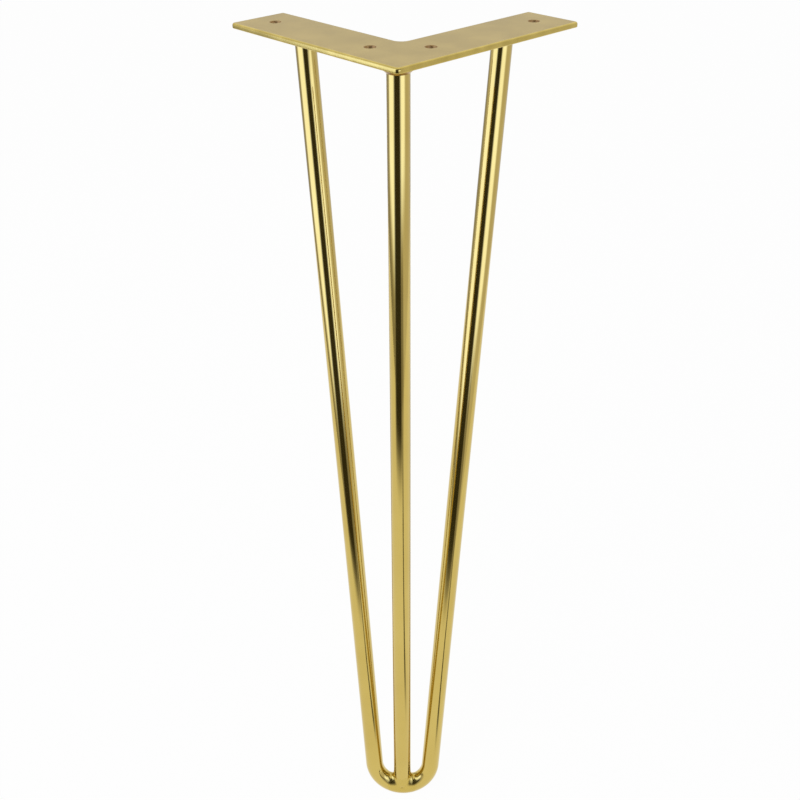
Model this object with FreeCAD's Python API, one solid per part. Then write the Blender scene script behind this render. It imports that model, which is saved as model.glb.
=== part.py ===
import FreeCAD, Part
import math
import os

# Hairpin table leg: an L-shaped screw plate, a rod bent into a long narrow U and a straight
# centre rod, welded together. Millimetres, +Z up. The plate's top face lies at Z = 0 and the
# foot points down. The leg is symmetric about X = 0: the plate's outer corner points to -Y,
# and its two arms run back from it at 45 degrees. The origin is on the top face, where the
# centre lines of the two arms cross.

# Overall
leg_height = 400.0                 # plate's top face to the lowest point of the foot

# Mounting plate
arm_length = 115.0                 # outer corner to the end of an arm
arm_width = 31.0
plate_thickness = 2.5
inner_corner_radius = 4.0
outer_corner_radius = 1.5
arm_end_radius = 1.5
plate_edge_round = 0.4

# Screw holes, on the centre line of each arm
screw_hole_diameter = 5.0
inner_hole_distance = 34.0         # outer corner to the hole, along an arm
outer_hole_setback = 14.0          # end of the arm to the hole

# Rods
rod_diameter = 10.0
hairpin_top_distance = 85.0        # outer corner to the top of a U leg, along its arm
hairpin_top_inset = 20.0           # outer edge of the arm to the top of a U leg
centre_rod_inset = 7.0             # both outer edges to the top of the centre rod
bend_radius = 16.5                 # centre line of the U's bend
foot_splay = 37.0                  # how far the foot stands outside both outer edges
centre_rod_seat = 1.0              # end of the centre rod above the bend's centre line

# Welds
plate_weld_leg = 1.8               # reach of a bead along the plate and down the rod
plate_weld_lip_inset = 0.4         # the bead's lower end runs into the rod by this much
foot_weld_radius = 7.8
foot_weld_depth = 8.8              # less than the rods' own thickness, as it is ground back
foot_weld_rise = 3.0               # middle of the weld above the bend's centre line
crook_radius = 1.8                 # hollow of the weld where a gap between the rods ends
crook_depth = 6.4

# Values worked out from the sizes above
rod_radius = rod_diameter / 2
underside = -plate_thickness
foot_centre_z = -leg_height + rod_radius
trim_margin = rod_diameter         # how far the rods run on before they are cut flush
across = FreeCAD.Vector(1, 0, 0)
upright = FreeCAD.Vector(0, 0, 1)


def from_corner(along_right, along_left, z):
    """A point given by its distances from the outer corner along the two arms."""
    x = (along_right - along_left) / math.sqrt(2)
    y = (along_right + along_left - arm_width) / math.sqrt(2)
    return FreeCAD.Vector(x, y, z)


def unit(start, end):
    """The direction from one point to another."""
    return (end - start).normalize()


# Ends and foot of the rods
right_top = from_corner(hairpin_top_distance, hairpin_top_inset, underside)
left_top = from_corner(hairpin_top_inset, hairpin_top_distance, underside)
centre_top = from_corner(centre_rod_inset, centre_rod_inset, underside)
foot = from_corner(-foot_splay, -foot_splay, foot_centre_z)

# Plane of the U: it holds the two tops and the foot, and leans with the leg
hairpin_middle = (right_top + left_top) / 2
up_the_leg = unit(foot, hairpin_middle)
up_the_centre_rod = unit(foot, centre_top)
bend_centre = foot + up_the_leg * bend_radius

# Where the straight legs of the U meet its bend
half_span = right_top.x
rise = (hairpin_middle - bend_centre).Length
tangent_angle = math.atan2(rise, half_span) - math.acos(bend_radius / math.hypot(half_span, rise))
tangent_level = bend_centre + up_the_leg * (bend_radius * math.sin(tangent_angle))
right_tangent = tangent_level + across * (bend_radius * math.cos(tangent_angle))
left_tangent = tangent_level - across * (bend_radius * math.cos(tangent_angle))

# Hollow of the foot weld: it touches the centre rod's side and the inside of the bend
bend_inside = bend_radius - rod_radius
crook_reach = rod_radius + crook_radius
crook_rise = bend_radius - math.sqrt((bend_inside - crook_radius) ** 2 - crook_reach ** 2)
crook_half_width = crook_reach * bend_inside / (bend_inside - crook_radius)


def above_plate_underside():
    """A block over everything above the plate's lower face, to cut the rods flush."""
    size = 4 * arm_length
    return Part.makeBox(size, size, size, FreeCAD.Vector(-size / 2, -size / 2, underside))


def vertical_edges_at(solid, point):
    """The upright edges of the plate at a corner of its outline."""
    found = []
    for edge in solid.Edges:
        ends = [vertex.Point for vertex in edge.Vertexes]
        if len(ends) == 2 and all(math.hypot(p.x - point.x, p.y - point.y) < 0.01 for p in ends):
            found.append(edge)
    return found


def rim_edges(solid):
    """The outline edges of the plate's top and bottom faces, without the screw holes."""
    found = []
    for face in solid.Faces:
        if abs(abs(face.normalAt(0, 0).z) - 1) < 0.001:
            found.extend(face.OuterWire.Edges)
    return found


def make_mounting_plate():
    """The L-shaped plate with its rounded corners and four screw holes."""
    outer = from_corner(0, 0, underside)
    right_end = [from_corner(arm_length, 0, underside), from_corner(arm_length, arm_width, underside)]
    left_end = [from_corner(arm_width, arm_length, underside), from_corner(0, arm_length, underside)]
    inner = from_corner(arm_width, arm_width, underside)
    outline = Part.makePolygon([outer, *right_end, inner, *left_end, outer])
    plate = Part.Face(outline).extrude(upright * plate_thickness)

    plate = plate.makeFillet(inner_corner_radius, vertical_edges_at(plate, inner))
    plate = plate.makeFillet(outer_corner_radius, vertical_edges_at(plate, outer))
    for corner in right_end + left_end:
        plate = plate.makeFillet(arm_end_radius, vertical_edges_at(plate, corner))
    plate = plate.makeFillet(plate_edge_round, rim_edges(plate))

    centre_line = arm_width / 2
    for distance in (inner_hole_distance, arm_length - outer_hole_setback):
        for place in ((distance, centre_line), (centre_line, distance)):
            base = from_corner(*place, underside - plate_thickness)
            hole = Part.makeCylinder(screw_hole_diameter / 2, 3 * plate_thickness, base, upright)
            plate = plate.cut(hole)
    return plate


def make_hairpin_rod():
    """One rod bent into a U: two straight legs that meet the bend at a tangent."""
    right_start = right_top + unit(right_tangent, right_top) * trim_margin
    left_start = left_top + unit(left_tangent, left_top) * trim_margin
    path = Part.Wire([
        Part.LineSegment(right_start, right_tangent).toShape(),
        Part.Arc(right_tangent, foot, left_tangent).toShape(),
        Part.LineSegment(left_tangent, left_start).toShape(),
    ])
    section = Part.Wire(Part.makeCircle(rod_radius, right_start, unit(right_start, right_tangent)))
    rod = path.makePipeShell([section], True, False)
    return rod.cut(above_plate_underside())


def make_centre_rod(hairpin_rod):
    """The straight rod from the plate's corner, its lower end seated on the bend."""
    lower_end = foot + up_the_centre_rod * centre_rod_seat
    length = (centre_top - lower_end).Length + trim_margin
    rod = Part.makeCylinder(rod_radius, length, lower_end, up_the_centre_rod)
    return rod.cut(above_plate_underside()).cut(hairpin_rod)


def make_plate_weld(top, below, rod):
    """A tapered bead round a rod where it meets the plate, slanted along with the rod."""
    slant = unit(top, below)
    lip = top + slant * (plate_weld_leg / -slant.z)
    rim_circle = Part.Wire(Part.makeCircle(rod_radius + plate_weld_leg, top, upright))
    lip_circle = Part.Wire(Part.makeCircle(rod_radius - plate_weld_lip_inset, lip, upright))
    return Part.makeLoft([lip_circle, rim_circle], True, True).cut(rod)


def block_above_foot(half_width, depth, height):
    """A block that stands on the bend's centre line at the foot, in the centre rod's own frame."""
    return Part.makeBox(2 * half_width, depth, height, FreeCAD.Vector(-half_width, -depth / 2, 0))


def make_foot_welds(hairpin_rod, centre_rod):
    """The weld in the two crooks between the centre rod and the bend, left one first."""
    bead = Part.makeSphere(foot_weld_radius, FreeCAD.Vector(0, 0, foot_weld_rise))
    ground_bead = bead.common(block_above_foot(foot_weld_radius, foot_weld_depth, 2 * foot_weld_radius))

    crook = block_above_foot(crook_half_width, crook_depth, crook_rise)
    for side in (-1, 1):
        start = FreeCAD.Vector(side * crook_reach, -crook_depth / 2, crook_rise)
        crook = crook.cut(Part.makeCylinder(crook_radius, crook_depth, start, FreeCAD.Vector(0, 1, 0)))

    weld = ground_bead.fuse(crook)
    backwards = up_the_centre_rod.cross(across)
    weld.Placement = FreeCAD.Placement(foot, FreeCAD.Rotation(across, backwards, up_the_centre_rod))
    pieces = weld.cut(hairpin_rod).cut(centre_rod).Solids
    pieces.sort(key=lambda piece: piece.Volume)
    crooks = pieces[-2:]
    crooks.sort(key=lambda piece: piece.CenterOfMass.x)
    return crooks


def build_leg():
    """Every piece of the leg by name."""
    hairpin_rod = make_hairpin_rod()
    centre_rod = make_centre_rod(hairpin_rod)
    left_foot_weld, right_foot_weld = make_foot_welds(hairpin_rod, centre_rod)
    return {
        "mounting_plate": make_mounting_plate(),
        "hairpin_rod": hairpin_rod,
        "centre_rod": centre_rod,
        "corner_weld": make_plate_weld(centre_top, foot, centre_rod),
        "left_weld": make_plate_weld(left_top, left_tangent, hairpin_rod),
        "right_weld": make_plate_weld(right_top, right_tangent, hairpin_rod),
        "left_foot_weld": left_foot_weld,
        "right_foot_weld": right_foot_weld,
    }


os.makedirs("parts", exist_ok=True)
for name, shape in build_leg().items():
    solid = shape.Solids[0] if len(shape.Solids) == 1 else shape
    print(name, "solids", len(shape.Solids), "valid", shape.isValid(), "volume", round(shape.Volume, 2))
    solid.exportStep("parts/" + name + ".step")
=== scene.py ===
import math
import bmesh
import bpy
import numpy as np
from mathutils import Matrix, Vector


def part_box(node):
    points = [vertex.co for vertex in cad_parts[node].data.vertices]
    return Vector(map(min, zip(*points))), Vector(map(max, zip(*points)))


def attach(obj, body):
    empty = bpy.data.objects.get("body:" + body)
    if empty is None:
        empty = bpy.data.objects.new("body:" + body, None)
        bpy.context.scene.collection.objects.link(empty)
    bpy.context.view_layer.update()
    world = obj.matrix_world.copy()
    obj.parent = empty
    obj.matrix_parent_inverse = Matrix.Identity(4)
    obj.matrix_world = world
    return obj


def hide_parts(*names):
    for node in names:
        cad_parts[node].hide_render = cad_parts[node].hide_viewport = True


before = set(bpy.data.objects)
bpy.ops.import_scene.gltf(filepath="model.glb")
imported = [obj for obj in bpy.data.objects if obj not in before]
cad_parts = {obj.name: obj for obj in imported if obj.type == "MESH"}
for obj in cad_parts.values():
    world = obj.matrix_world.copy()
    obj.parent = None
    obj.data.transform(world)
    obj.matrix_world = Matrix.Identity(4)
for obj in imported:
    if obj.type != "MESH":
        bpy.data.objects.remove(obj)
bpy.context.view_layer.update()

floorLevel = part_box("hairpin_rod")[0].z      # the foot stands on the floor


# Camera: place in metres, angles in degrees, for an 800 x 800 picture

cameraSetup = {
    "place": (0.0164, -0.4259, 0.1040),
    "turn": 2.42,           # from straight along +Y, towards -X
    "tilt": 36.09,          # down from level
    "roll": -0.74,
    "focalPixels": 972.1,
    "centrePixels": (400.7, 454.9),
    "picturePixels": 800,
    "sensorWidth": 36,      # millimetres
    "nearest": 0.01,
    "farthest": 50,
}


def makeCamera(setup):
    data = bpy.data.cameras.new("camera")
    size = setup["picturePixels"]
    data.sensor_width = setup["sensorWidth"]
    data.lens = setup["sensorWidth"] * setup["focalPixels"] / size
    data.shift_x = (size / 2 - setup["centrePixels"][0]) / size
    data.shift_y = (setup["centrePixels"][1] - size / 2) / size
    data.clip_start = setup["nearest"]
    data.clip_end = setup["farthest"]
    camera = bpy.data.objects.new("camera", data)
    bpy.context.scene.collection.objects.link(camera)
    turn = Matrix.Rotation(math.radians(setup["turn"]), 4, "Z")
    tilt = Matrix.Rotation(math.radians(90 - setup["tilt"]), 4, "X")
    roll = Matrix.Rotation(math.radians(setup["roll"]), 4, "Z")
    camera.matrix_world = Matrix.Translation(setup["place"]) @ turn @ tilt @ roll
    bpy.context.scene.camera = camera


makeCamera(cameraSetup)
print("camera placed")


# Node helpers

def newMaterial(name):
    material = bpy.data.materials.new(name)
    material.use_nodes = True
    tree = material.node_tree
    tree.nodes.clear()
    output = tree.nodes.new("ShaderNodeOutputMaterial")
    return material, tree, output


def addNoise(tree, scale, detail, stretch=(1, 1, 1)):
    place = tree.nodes.new("ShaderNodeTexCoord")
    mapping = tree.nodes.new("ShaderNodeMapping")
    mapping.inputs["Scale"].default_value = stretch
    noise = tree.nodes.new("ShaderNodeTexNoise")
    noise.inputs["Scale"].default_value = scale
    noise.inputs["Detail"].default_value = detail
    tree.links.new(place.outputs["Object"], mapping.inputs["Vector"])
    tree.links.new(mapping.outputs["Vector"], noise.inputs["Vector"])
    return noise.outputs["Fac"]


def addRamp(tree, source, stops):
    ramp = tree.nodes.new("ShaderNodeValToRGB")
    elements = ramp.color_ramp.elements      # a new ramp has two of them
    for element, (position, colour) in zip(elements, stops):
        element.position = position
        element.color = (*colour, 1)
    tree.links.new(source, ramp.inputs["Fac"])
    return ramp.outputs["Color"]


def addRange(tree, source, low, high):
    spread = tree.nodes.new("ShaderNodeMapRange")
    spread.inputs["To Min"].default_value = low
    spread.inputs["To Max"].default_value = high
    tree.links.new(source, spread.inputs["Value"])
    return spread.outputs["Result"]


def addBump(tree, source, strength, distance):
    bump = tree.nodes.new("ShaderNodeBump")
    bump.inputs["Strength"].default_value = strength
    bump.inputs["Distance"].default_value = distance
    tree.links.new(source, bump.inputs["Height"])
    return bump.outputs["Normal"]


# Golds: the patches run from deepGold to gold between the two patchEdges

rodFinish = {
    "gold": (0.615, 0.462, 0.112),
    "deepGold": (0.580, 0.428, 0.098),
    "patchScale": 40,
    "patchDetail": 3,
    "patchEdges": (0.35, 0.65),
    "roughness": (0.07, 0.11),
    "coat": 0.6,
    "coatRoughness": 0.05,
    "drawnLines": 0.015,
    "lineScale": 900,
    "lineStretch": (1, 1, 0.02),     # long along the leg
    "lineDetail": 2,
    "lineDepth": 0.0002,
}

groundFinish = {**rodFinish, "roughness": (0.16, 0.22), "coat": 0.15}    # the foot weld, less polished

plateFinish = {
    "gold": (0.58, 0.445, 0.145),
    "deepGold": (0.50, 0.375, 0.105),
    "patchScale": 55,
    "patchDetail": 6,
    "patchEdges": (0.38, 0.66),
    "roughness": (0.30, 0.42),
    "grain": 0.12,
    "grainScale": 1400,
    "grainDetail": 3,
    "grainDepth": 0.0003,
}

plateEdgeFinish = {                  # worn smooth; the paler gold is a painted highlight along the rounded edges
    **plateFinish,
    # paler than the plate's golds: the painted highlight on the rims
    "gold": (0.66, 0.51, 0.14),
    "deepGold": (0.55, 0.42, 0.108),
    "patchScale": 120,
    "roughness": (0.12, 0.22),
    "grain": 0.10,
}

screwHoleFinish = {                  # a darker, browner gold on the walls of the holes
    **plateFinish,
    "gold": (0.42, 0.27, 0.10),
    "deepGold": (0.34, 0.20, 0.075),
    "patchScale": 200,
    "roughness": (0.45, 0.60),
}

weldFinish = {
    "gold": (0.50, 0.33, 0.085),
    "deepGold": (0.24, 0.13, 0.03),
    "patchScale": 260,
    "patchDetail": 4,
    "patchEdges": (0.34, 0.56),
    "roughness": (0.16, 0.32),
    "ripple": 0.35,
    "rippleDepth": 0.0006,
}


# A metal whose colour and roughness follow the same patches
def startGold(name, look):
    material, tree, output = newMaterial(name)
    shader = tree.nodes.new("ShaderNodeBsdfPrincipled")
    shader.inputs["Metallic"].default_value = 1.0
    patches = addNoise(tree, look["patchScale"], look["patchDetail"])
    deepEdge, paleEdge = look["patchEdges"]
    colour = addRamp(tree, patches, [(deepEdge, look["deepGold"]), (paleEdge, look["gold"])])
    rough = addRange(tree, patches, *look["roughness"])
    tree.links.new(colour, shader.inputs["Base Color"])
    tree.links.new(rough, shader.inputs["Roughness"])
    tree.links.new(shader.outputs["BSDF"], output.inputs["Surface"])
    return material, tree, shader


def makeRodGold(name, look):
    material, tree, shader = startGold(name, look)
    shader.inputs["Coat Weight"].default_value = look["coat"]
    shader.inputs["Coat Roughness"].default_value = look["coatRoughness"]
    lines = addNoise(tree, look["lineScale"], look["lineDetail"], look["lineStretch"])
    drawn = addBump(tree, lines, look["drawnLines"], look["lineDepth"])
    tree.links.new(drawn, shader.inputs["Normal"])
    return material


def makePlateGold(name, look):
    material, tree, shader = startGold(name, look)
    grain = addNoise(tree, look["grainScale"], look["grainDetail"])
    grained = addBump(tree, grain, look["grain"], look["grainDepth"])
    tree.links.new(grained, shader.inputs["Normal"])
    return material


def makeWeldGold(name, look):
    material, tree, shader = startGold(name, look)
    ripples = addNoise(tree, look["patchScale"], look["patchDetail"])    # the same places as the patches
    rippled = addBump(tree, ripples, look["ripple"], look["rippleDepth"])
    tree.links.new(rippled, shader.inputs["Normal"])
    return material


rodGold = makeRodGold("rodGold", rodFinish)
groundGold = makeRodGold("groundGold", groundFinish)
plateGold = makePlateGold("plateGold", plateFinish)
plateEdgeGold = makePlateGold("plateEdgeGold", plateEdgeFinish)
screwHoleGold = makePlateGold("screwHoleGold", screwHoleFinish)
weldGold = makeWeldGold("weldGold", weldFinish)

creaseAngle = math.radians(32)   # flatter edges than this are shaded as one smooth surface
for nodeName in ("corner_weld", "left_weld", "right_weld"):
    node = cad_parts[nodeName]
    for place in node.material_slots:
        place.material = weldGold
    node.data.polygons.foreach_set("use_smooth", [True] * len(node.data.polygons))
    node.data.set_sharp_from_angle(angle=creaseAngle)
print("weld beads finished")


# The leg's own sizes in millimetres. The plate, the rods and the foot weld are drawn from them
# as finer surfaces.

legSizes = {
    "height": 400.0,
    "armWidth": 31.0,
    "plateThickness": 2.5,
    "hairpinTop": (85.0, 20.0),     # from the outer corner along one arm, and in from its edge
    "centreRodTop": (7.0, 7.0),
    "footSplay": 37.0,              # how far the foot stands outside both outer edges
    "rodDiameter": 10.0,
    "bendRadius": 16.5,             # centre line of the bend
    "centreRodEnd": 4.0,            # above the bend's centre line
}

millimetre = 0.001
sameLevel = 0.001                   # heights this close, in millimetres, count as the same
rodRadius = legSizes["rodDiameter"] / 2
plateUnderside = -legSizes["plateThickness"]


# A point by its distances from the outer corner along the two arms
def fromCorner(alongRight, alongLeft, height):
    along = (alongRight - alongLeft) / math.sqrt(2)
    back = (alongRight + alongLeft - legSizes["armWidth"]) / math.sqrt(2)
    return Vector((along, back, height))


across = Vector((1, 0, 0))
rightTop = fromCorner(*legSizes["hairpinTop"], plateUnderside)
leftTop = Vector((-rightTop.x, rightTop.y, rightTop.z))
centreTop = fromCorner(*legSizes["centreRodTop"], plateUnderside)
foot = fromCorner(-legSizes["footSplay"], -legSizes["footSplay"], rodRadius - legSizes["height"])
upLeg = ((rightTop + leftTop) / 2 - foot).normalized()
upCentreRod = (centreTop - foot).normalized()
centreRodEnd = foot + upCentreRod * legSizes["centreRodEnd"]
bendCentre = foot + upLeg * legSizes["bendRadius"]
facing = across.cross(upLeg)      # square to the plane of the bend


def bendPoint(angle):
    return bendCentre + (across * math.cos(angle) + upLeg * math.sin(angle)) * legSizes["bendRadius"]


# The angle at which the straight legs leave the bend
def tangentAngle():
    rise = ((rightTop + leftTop) / 2 - bendCentre).length
    reach = math.hypot(rightTop.x, rise)
    return math.atan2(rise, rightTop.x) - math.acos(legSizes["bendRadius"] / reach)


def evenly(start, end, count):
    return [start.lerp(end, n / count) for n in range(count + 1)]


def finishPiece(name, mesh, nodes, materials):
    for material in materials:
        mesh.materials.append(material)
    piece = bpy.data.objects.new(name, mesh)
    bpy.context.scene.collection.objects.link(piece)
    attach(piece, "root")
    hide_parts(*nodes)
    return piece


# Mounting plate: an outline with rounded edges and four screw holes

mountingPlate = {
    "armLength": 115.0,
    "topRound": 1.15,               # the edges are worn rounder on top than below
    "bottomRound": 0.5,
    "cornerRadius": 1.5,
    "outerCornerRadius": 2.3,
    "innerCornerRadius": 4.0,
    "holeRadius": 2.5,
    "holeRound": 0.35,
    "holePlaces": (34.0, 101.0),    # from the outer corner along each arm
    "roundSteps": 8,
    "cornerSteps": 10,
    "holeSteps": 64,
}
plateGolds = [plateGold, plateEdgeGold, screwHoleGold]    # flat faces, rounded edges, walls of the holes
edgeNumber = plateGolds.index(plateEdgeGold)
holeNumber = plateGolds.index(screwHoleGold)


# The plate's outline, drawn in by an amount, as points round its corners
def plateRing(inset, height):
    length = mountingPlate["armLength"]
    width = legSizes["armWidth"]
    small = mountingPlate["cornerRadius"]
    outer = mountingPlate["outerCornerRadius"]
    hollow = mountingPlate["innerCornerRadius"]
    corners = [
        ((outer, outer), 180, 1, outer),
        ((length - small, small), 270, 1, small),
        ((length - small, width - small), 0, 1, small),
        ((width + hollow, width + hollow), 270, -1, hollow),
        ((width - small, length - small), 0, 1, small),
        ((small, length - small), 90, 1, small),
    ]
    steps = mountingPlate["cornerSteps"]
    ring = []
    for (middleU, middleV), start, turn, rounding in corners:
        radius = rounding - turn * inset
        for step in range(steps + 1):
            angle = math.radians(start + turn * 90 * step / steps)
            alongRight = middleU + radius * math.cos(angle)
            alongLeft = middleV + radius * math.sin(angle)
            ring.append(fromCorner(alongRight, alongLeft, height))
    return ring


def holeRing(place, inset, height):
    radius = mountingPlate["holeRadius"] - inset
    middle = fromCorner(*place, height)
    steps = mountingPlate["holeSteps"]
    angles = [2 * math.pi * step / steps for step in range(steps)]
    return [middle + Vector((math.cos(angle), math.sin(angle), 0)) * radius for angle in angles]


# Insets and heights of a rounded edge from the top face down to the underside
def edgeProfile(topRound, bottomRound):
    steps = mountingPlate["roundSteps"]
    profile = []
    for step in range(steps + 1):
        rise = math.radians(90 - 90 * step / steps)
        profile.append((topRound * (1 - math.cos(rise)), topRound * (math.sin(rise) - 1)))
    for step in range(steps + 1):
        drop = math.radians(90 * step / steps)
        lowest = plateUnderside + bottomRound * (1 - math.sin(drop))
        profile.append((bottomRound * (1 - math.cos(drop)), lowest))
    return profile


# Smooth faces between rings of points, and the edges of the first and last ring
def joinRings(net, rings, finishNumber):
    made = [[net.verts.new(point * millimetre) for point in ring] for ring in rings]
    count = len(rings[0])
    for upper, lower in zip(made, made[1:]):
        for n in range(count):
            after = (n + 1) % count
            face = net.faces.new((upper[n], lower[n], lower[after], upper[after]))
            face.smooth = True
            face.material_index = finishNumber
    ends = (made[0], made[-1])
    return [[net.edges.get((ring[n], ring[(n + 1) % count])) for n in range(count)] for ring in ends]


def plateMesh(name):
    net = bmesh.new()
    profile = edgeProfile(mountingPlate["topRound"], mountingPlate["bottomRound"])
    outline = [plateRing(inset, height) for inset, height in profile]
    topEdges, bottomEdges = joinRings(net, outline, edgeNumber)
    rim = edgeProfile(mountingPlate["holeRound"], mountingPlate["holeRound"])
    centreLine = legSizes["armWidth"] / 2
    for distance in mountingPlate["holePlaces"]:
        for place in ((distance, centreLine), (centreLine, distance)):
            rings = [holeRing(place, -inset, height) for inset, height in rim]
            holeTop, holeBottom = joinRings(net, rings, holeNumber)
            topEdges += holeTop
            bottomEdges += holeBottom
    for edges in (topEdges, bottomEdges):
        bmesh.ops.triangle_fill(net, edges=edges, use_beauty=True)
    bmesh.ops.recalc_face_normals(net, faces=net.faces)
    mesh = bpy.data.meshes.new(name)
    net.to_mesh(mesh)
    net.free()
    return mesh


plateShape = plateMesh("mountingPlate")
plate = finishPiece("mountingPlate", plateShape, ["mounting_plate"], plateGolds)
plate.visible_glossy = False    # the rods' stripes run straight up to it, with no mirrored underside
print("plate made")


# Rods: round tubes along flat paths, their ends cut level where they meet the plate

hairpinTube = {"around": 96, "alongLeg": 26, "alongBend": 64}
centreTube = {"around": 96, "along": 30}


def tubeRing(middle, heading, around):
    outwards = heading.cross(facing).normalized()
    sideways = outwards.cross(heading)
    ring = []
    for step in range(around):
        turned = 2 * math.pi * step / around
        point = middle + (outwards * math.cos(turned) + sideways * math.sin(turned)) * rodRadius
        if abs(middle.z - plateUnderside) < sameLevel:
            point += heading * ((plateUnderside - point.z) / heading.z)
        ring.append(point * millimetre)
    return ring


def tubeMesh(name, path, around):
    points = []
    for n, middle in enumerate(path):
        before = path[max(n - 1, 0)]
        after = path[min(n + 1, len(path) - 1)]
        points += tubeRing(middle, (after - before).normalized(), around)
    faces = []
    for ring in range(len(path) - 1):
        for step in range(around):
            near = ring * around
            far = near + around
            turn = (step + 1) % around
            faces.append((near + step, near + turn, far + turn, far + step))
    sideFaces = len(faces)
    sidePoints = len(points)
    faces.append(tuple(reversed(range(sidePoints, sidePoints + around))))
    faces.append(tuple(range(sidePoints + around, sidePoints + 2 * around)))
    # The ends have corners of their own, so the sides stay smooth
    points += points[:around] + points[-around:]
    mesh = bpy.data.meshes.new(name)
    mesh.from_pydata([tuple(point) for point in points], [], faces)
    mesh.polygons.foreach_set("use_smooth", [n < sideFaces for n in range(len(faces))])
    mesh.update()
    return mesh


# Points down the right leg, round the bend and up the left leg
def hairpinPath(look):
    last = tangentAngle()
    sweep = math.pi + 2 * last
    angles = [last - sweep * n / look["alongBend"] for n in range(1, look["alongBend"])]
    rightLeg = evenly(rightTop, bendPoint(last), look["alongLeg"])
    leftLeg = evenly(bendPoint(math.pi - last), leftTop, look["alongLeg"])
    return rightLeg + [bendPoint(angle) for angle in angles] + leftLeg


centrePath = evenly(centreTop, centreRodEnd, centreTube["along"])
hairpinMesh = tubeMesh("hairpinRod", hairpinPath(hairpinTube), hairpinTube["around"])
centreMesh = tubeMesh("centreRod", centrePath, centreTube["around"])
finishPiece("hairpinRod", hairpinMesh, ["hairpin_rod"], [rodGold])
finishPiece("centreRod", centreMesh, ["centre_rod"], [rodGold])
print("rods made")


# Foot weld: a smooth skin over the crooks between the centre rod and the bend. A net of small
# faces over both rods is settled onto the blended surface and trimmed to the crooks.

footWeld = {
    "blend": 4.4,                   # how far the weld spreads over both rods in the crooks, in millimetres
    "leastBlend": 0.01,             # the spread in the middle, where it is ground flush
    "flushWidth": 5.5,              # from the middle to its full spread
    "reach": 4.9,                   # the weld's skin ends this far from the other rod
    "proud": 0.006,                 # the skin lies this much outside the rods
    "cell": 0.42,                   # size of its faces
    "bendAngles": (-165, -15, 5),   # the net's stretch of the bend: first, last and step, in degrees
    "rodHeight": 18,                # the net's stretch of the centre rod
    "rodSteps": 6,
    "around": 48,
    "settleRounds": 12,
    "settleShare": 0.9,
    "slopeStep": 0.01,
}


# How far points are from the surface of the bent rod near the foot
def distanceToBend(points):
    offset = points - np.array(bendCentre)
    inPlaneX = offset @ np.array(across)
    inPlaneZ = offset @ np.array(upLeg)
    outOfPlane = offset @ np.array(facing)
    fromLine = np.hypot(inPlaneX, inPlaneZ) - legSizes["bendRadius"]
    return np.hypot(fromLine, outOfPlane) - rodRadius


def distanceToCentreRod(points):
    offset = points - np.array(centreRodEnd)
    along = np.maximum(offset @ np.array(upCentreRod), 0)
    return np.linalg.norm(offset - along[:, None] * np.array(upCentreRod), axis=1) - rodRadius


# One distance to both rods, with a round fillet between them as wide as the spread
def blendedDistance(points):
    bend = distanceToBend(points)
    rod = distanceToCentreRod(points)
    aside = np.minimum(abs(points[:, 0]) / footWeld["flushWidth"], 1)
    spread = footWeld["blend"] * aside ** 2 * (3 - 2 * aside) + footWeld["leastBlend"]
    share = np.maximum(spread - abs(bend - rod), 0) / spread
    return np.minimum(bend, rod) - share ** 2 * spread / 4


def outwardsAt(points):
    step = footWeld["slopeStep"]
    slopes = []
    for axis in np.eye(3):
        slopes.append(blendedDistance(points + axis * step) - blendedDistance(points - axis * step))
    slope = np.array(slopes).T
    return slope / np.linalg.norm(slope, axis=1)[:, None]


# An even net of small faces over both rods near the foot
def roughUnion(name):
    source = bpy.data.meshes.new(name)
    first, last, step = footWeld["bendAngles"]
    bendStub = [bendPoint(math.radians(angle)) for angle in range(first, last + 1, step)]
    rodStub = evenly(centreRodEnd, foot + upCentreRod * footWeld["rodHeight"], footWeld["rodSteps"])
    points = []
    faces = []
    for path in (bendStub, rodStub):
        tube = tubeMesh(name + "Stub", path, footWeld["around"])
        made = len(points)
        points.extend(tuple(vertex.co / millimetre) for vertex in tube.vertices)
        faces.extend(tuple(made + n for n in face.vertices) for face in tube.polygons)
        bpy.data.meshes.remove(tube)
    source.from_pydata(points, [], faces)
    maker = bpy.data.objects.new(name, source)
    bpy.context.scene.collection.objects.link(maker)
    net = maker.modifiers.new("net", "REMESH")
    net.mode = "VOXEL"
    net.voxel_size = footWeld["cell"]
    bpy.context.view_layer.update()
    even = bpy.data.meshes.new_from_object(maker.evaluated_get(bpy.context.evaluated_depsgraph_get()))
    bpy.data.objects.remove(maker)
    bpy.data.meshes.remove(source)
    return even


def footWeldMesh(name):
    net = roughUnion(name + "Net")
    points = np.array([tuple(vertex.co) for vertex in net.vertices])
    for settling in range(footWeld["settleRounds"]):
        towards = blendedDistance(points) * footWeld["settleShare"]
        points = points - outwardsAt(points) * towards[:, None]
    normals = outwardsAt(points)
    fromOther = np.maximum(distanceToBend(points), distanceToCentreRod(points))
    kept = fromOther < footWeld["reach"]
    faces = [tuple(face.vertices) for face in net.polygons if all(kept[n] for n in face.vertices)]
    used = sorted({n for face in faces for n in face})
    places = {old: new for new, old in enumerate(used)}
    skin = (points[used] + normals[used] * footWeld["proud"]) * millimetre
    mesh = bpy.data.meshes.new(name)
    mesh.from_pydata(skin.tolist(), [], [tuple(places[n] for n in face) for face in faces])
    mesh.polygons.foreach_set("use_smooth", [True] * len(faces))
    mesh.update()
    mesh.normals_split_custom_set_from_vertices(normals[used].tolist())
    bpy.data.meshes.remove(net)
    return mesh


footWeldNodes = ["left_foot_weld", "right_foot_weld"]
finishPiece("footWeld", footWeldMesh("footWeld"), footWeldNodes, [groundGold])
print("foot weld made")


# Room: a pale floor, a plain world and one soft lamp

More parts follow.
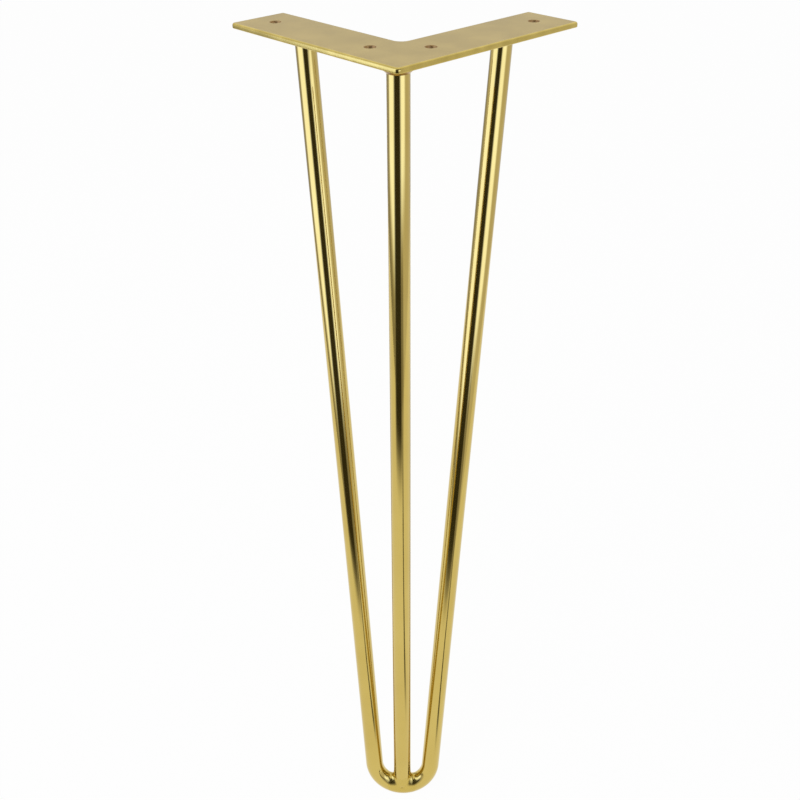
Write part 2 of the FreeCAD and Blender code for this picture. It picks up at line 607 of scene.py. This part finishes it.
room = {
    "floorSize": 10.0,
    "floorColour": (0.80, 0.80, 0.80),
    "shadowShare": 0.03,     # how much of the lit floor the camera sees under plain white
    "worldLight": 0.55,
}
keyLamp = {"place": (-0.8, -0.9, 1.0), "aim": (0, 0, -0.2), "size": 0.8, "power": 12}


def stageMesh(name, points, faces, material):
    mesh = bpy.data.meshes.new(name)
    mesh.from_pydata(points, [], faces)
    mesh.materials.append(material)
    made = bpy.data.objects.new(name, mesh)
    bpy.context.scene.collection.objects.link(made)
    return made


# 1 where the camera, a mirror or a glass looks straight at the surface, 0 where it lights things
def seenDirectly(tree):
    path = tree.nodes.new("ShaderNodeLightPath")
    first = tree.nodes.new("ShaderNodeMath")
    first.operation = "MAXIMUM"
    both = tree.nodes.new("ShaderNodeMath")
    both.operation = "MAXIMUM"
    tree.links.new(path.outputs["Is Camera Ray"], first.inputs[0])
    tree.links.new(path.outputs["Is Glossy Ray"], first.inputs[1])
    tree.links.new(first.outputs["Value"], both.inputs[0])
    tree.links.new(path.outputs["Is Transmission Ray"], both.inputs[1])
    return both.outputs["Value"]


def makeFloor(look):
    material, tree, output = newMaterial("paleFloor")
    lit = tree.nodes.new("ShaderNodeBsdfDiffuse")
    lit.inputs["Color"].default_value = (*look["floorColour"], 1)
    plain = tree.nodes.new("ShaderNodeEmission")
    plain.inputs["Strength"].default_value = 1.0
    cameraShare = tree.nodes.new("ShaderNodeMixShader")
    cameraShare.inputs["Fac"].default_value = 1 - look["shadowShare"]
    choice = tree.nodes.new("ShaderNodeMixShader")
    tree.links.new(seenDirectly(tree), choice.inputs["Fac"])
    tree.links.new(lit.outputs["BSDF"], cameraShare.inputs[1])
    tree.links.new(plain.outputs["Emission"], cameraShare.inputs[2])
    tree.links.new(lit.outputs["BSDF"], choice.inputs[1])
    tree.links.new(cameraShare.outputs["Shader"], choice.inputs[2])
    tree.links.new(choice.outputs["Shader"], output.inputs["Surface"])
    half = look["floorSize"] / 2
    corners = [(-half, -half), (half, -half), (half, half), (-half, half)]
    stageMesh("floor", [(x, y, floorLevel) for x, y in corners], [(0, 1, 2, 3)], material)


def makeWorld(look):
    world = bpy.data.worlds.new("plainWorld")
    bpy.context.scene.world = world
    world.use_nodes = True
    tree = world.node_tree
    tree.nodes.clear()
    output = tree.nodes.new("ShaderNodeOutputWorld")
    light = tree.nodes.new("ShaderNodeBackground")
    light.inputs["Strength"].default_value = look["worldLight"]
    white = tree.nodes.new("ShaderNodeBackground")
    white.inputs["Strength"].default_value = 1.0
    for background in (light, white):
        background.inputs["Color"].default_value = (1, 1, 1, 1)
    choice = tree.nodes.new("ShaderNodeMixShader")
    tree.links.new(seenDirectly(tree), choice.inputs["Fac"])
    tree.links.new(light.outputs["Background"], choice.inputs[1])
    tree.links.new(white.outputs["Background"], choice.inputs[2])
    tree.links.new(choice.outputs["Shader"], output.inputs["Surface"])


def makeLamp(name, look):
    data = bpy.data.lights.new(name, "AREA")
    data.size = look["size"]
    data.energy = look["power"]
    lamp = bpy.data.objects.new(name, data)
    lamp.location = look["place"]
    view = Vector(look["aim"]) - Vector(look["place"])
    lamp.rotation_euler = view.to_track_quat("-Z", "Y").to_euler()
    lamp.visible_glossy = False
    bpy.context.scene.collection.objects.link(lamp)


makeFloor(room)
makeWorld(room)
makeLamp("keyLamp", keyLamp)
bpy.context.scene.view_settings.view_transform = "Standard"
print("floor, world and lamp made")


# Soft shapes that the gloss sees round the leg, so the plain light stays plain. Angles are in
# degrees seen from the leg, 0 towards the camera and positive to its right. Heights are in
# metres above the floor. Each shape fades out over its edge, split evenly about its limit.

softboxGlow = (1.65, 1.87, 2.9)
belowFloor = -1.0
aboveAll = 9.0

wall = {
    "radius": 0.9,
    "height": 1.4,
    "first": -180,
    "last": 180,
    "plain": (0.73, 0.72, 0.75),
    "openAngle": 115,         # past it on both sides, the back is open above the openHeight
    "openAngleFade": 30,
    "openHeight": 0.75,
    "openHeightFade": 0.2,
}
wallShapes = {
    "dimBack": {
        "from": -200, "to": -102, "fade": 16,
        "low": belowFloor, "high": 0.34, "rise": 0.1,
        "glow": (0.42, 0.42, 0.43),
    },
    "leftSoftbox": {
        "from": -98, "to": -15, "fade": 20,
        "low": 0.16, "high": 1.2, "rise": 0.12,
        "glow": softboxGlow,
    },
    "rightSoftbox": {
        "from": 5, "to": 62, "fade": 22,
        "low": 0.26, "high": 0.8, "rise": 0.14,
        "glow": softboxGlow,
    },
    "darkUpperRight": {
        "from": -30, "to": 72, "fade": 20,
        "low": 0.8, "high": aboveAll, "rise": 0.1,
        "glow": (0.05, 0.045, 0.03),
    },
    "leftShade": {
        "from": -118, "to": -45, "fade": 16,
        "low": belowFloor, "high": 0.11, "rise": 0.1,
        "glow": (0.33, 0.32, 0.31),
    },
}

screen = {"radius": 0.46, "height": 0.8, "first": -75, "last": 60, "glow": (0.045, 0.041, 0.028)}
screenShapes = {
    "darkFront": {
        "from": -43, "to": 19, "fade": 22,
        "low": 0.07, "high": 0.68, "rise": 0.09,
        "cover": 1.0,
    },
    "darkRight": {
        "from": 15, "to": 36, "fade": 12,
        "low": 0.10, "high": 0.27, "rise": 0.08,
        "cover": 0.6,
    },
    "darkRightFoot": {
        "from": 19, "to": 29, "fade": 7,
        "low": belowFloor, "high": 0.12, "rise": 0.04,
        "cover": 0.75,
    },
}
roundGrid = {"columns": 180, "rows": 56}

floorStreak = {                     # as dark as the screen
    "from": (0.066, -0.105),
    "to": (0.195, -0.455),
    "width": (0.045, 0.11),
    "cover": 0.95,
    "startFade": (0.12, 0.24),      # middle and width, as shares of its length
    "sideFade": (0.6, 0.8),         # middle and width, as shares of its half width
    "columns": 24,
    "rows": 12,
}


def fadeIn(value, limit, width):
    share = min(max((value - limit) / width + 0.5, 0), 1)
    return share * share * (3 - 2 * share)


def shapeShare(shape, angle, height):
    inAngle = fadeIn(angle, shape["from"], shape["fade"]) * fadeIn(-angle, -shape["to"], shape["fade"])
    inHeight = fadeIn(height, shape["low"], shape["rise"]) * fadeIn(-height, -shape["high"], shape["rise"])
    return inAngle * inHeight


# Light of the colour painted on the mesh, see-through where the paint's cover is low
def glowMaterial(name):
    material, tree, output = newMaterial(name)
    painted = tree.nodes.new("ShaderNodeAttribute")
    painted.attribute_name = "glow"
    light = tree.nodes.new("ShaderNodeEmission")
    clear = tree.nodes.new("ShaderNodeBsdfTransparent")
    cover = tree.nodes.new("ShaderNodeMixShader")
    tree.links.new(painted.outputs["Color"], light.inputs["Color"])
    tree.links.new(painted.outputs["Alpha"], cover.inputs["Fac"])
    tree.links.new(clear.outputs["BSDF"], cover.inputs[1])
    tree.links.new(light.outputs["Emission"], cover.inputs[2])
    tree.links.new(cover.outputs["Shader"], output.inputs["Surface"])
    return material


# A glowing stage mesh that only gloss sees, with a colour and cover for each point
def glossMesh(name, points, faces, colours):
    made = stageMesh(name, points, faces, glowMaterial(name))
    painted = made.data.color_attributes.new("glow", "FLOAT_COLOR", "POINT")
    painted.data.foreach_set("color", [part for colour in colours for part in colour])
    made.visible_camera = False
    made.visible_diffuse = False
    made.visible_shadow = False
    made.visible_transmission = False


def gridFaces(columns, rows):
    faces = []
    for column in range(columns):
        for row in range(rows):
            near = column * (rows + 1) + row
            far = near + rows + 1
            faces.append((near, far, far + 1, near + 1))
    return faces


def paintWall(angle, height):
    colour = Vector(wall["plain"])
    for shape in wallShapes.values():
        colour = colour.lerp(Vector(shape["glow"]), shapeShare(shape, angle, height))
    atBack = fadeIn(abs(angle), wall["openAngle"], wall["openAngleFade"])
    return (*colour, 1 - atBack * fadeIn(height, wall["openHeight"], wall["openHeightFade"]))


def paintScreen(angle, height):
    cover = max(shapeShare(shape, angle, height) * shape["cover"] for shape in screenShapes.values())
    return (*screen["glow"], cover)


def makeRound(name, size, paint):
    columns = roundGrid["columns"]
    rows = roundGrid["rows"]
    radius = size["radius"]
    points = []
    colours = []
    for column in range(columns + 1):
        angle = size["first"] + (size["last"] - size["first"]) * column / columns
        turned = math.radians(angle)
        for row in range(rows + 1):
            height = size["height"] * (row / rows) ** 2    # closest together near the floor
            points.append((radius * math.sin(turned), -radius * math.cos(turned), floorLevel + height))
            colours.append(paint(angle, height))
    glossMesh(name, points, gridFaces(columns, rows), colours)


# A dark wedge on the floor, soft along both sides and at its near end
def makeFloorStreak(look):
    columns = look["columns"]
    rows = look["rows"]
    start = Vector(look["from"])
    end = Vector(look["to"])
    side = Vector((end.y - start.y, start.x - end.x)).normalized()
    nearWidth, farWidth = look["width"]
    sideMiddle, sideFade = look["sideFade"]
    points = []
    colours = []
    for column in range(columns + 1):
        along = column / columns
        width = nearWidth + (farWidth - nearWidth) * along
        for row in range(rows + 1):
            off = 2 * row / rows - 1
            place = start.lerp(end, along) + side * (off * width / 2)
            points.append((place.x, place.y, floorLevel + millimetre))
            fromStart = fadeIn(along, *look["startFade"])
            fromSides = fadeIn(-abs(off), -sideMiddle, sideFade)
            colours.append((*screen["glow"], look["cover"] * fromStart * fromSides))
    glossMesh("floorStreak", points, gridFaces(columns, rows), colours)


makeRound("glossWall", wall, paintWall)
makeRound("glossScreen", screen, paintScreen)
makeFloorStreak(floorStreak)
print("soft shapes for the gloss made")
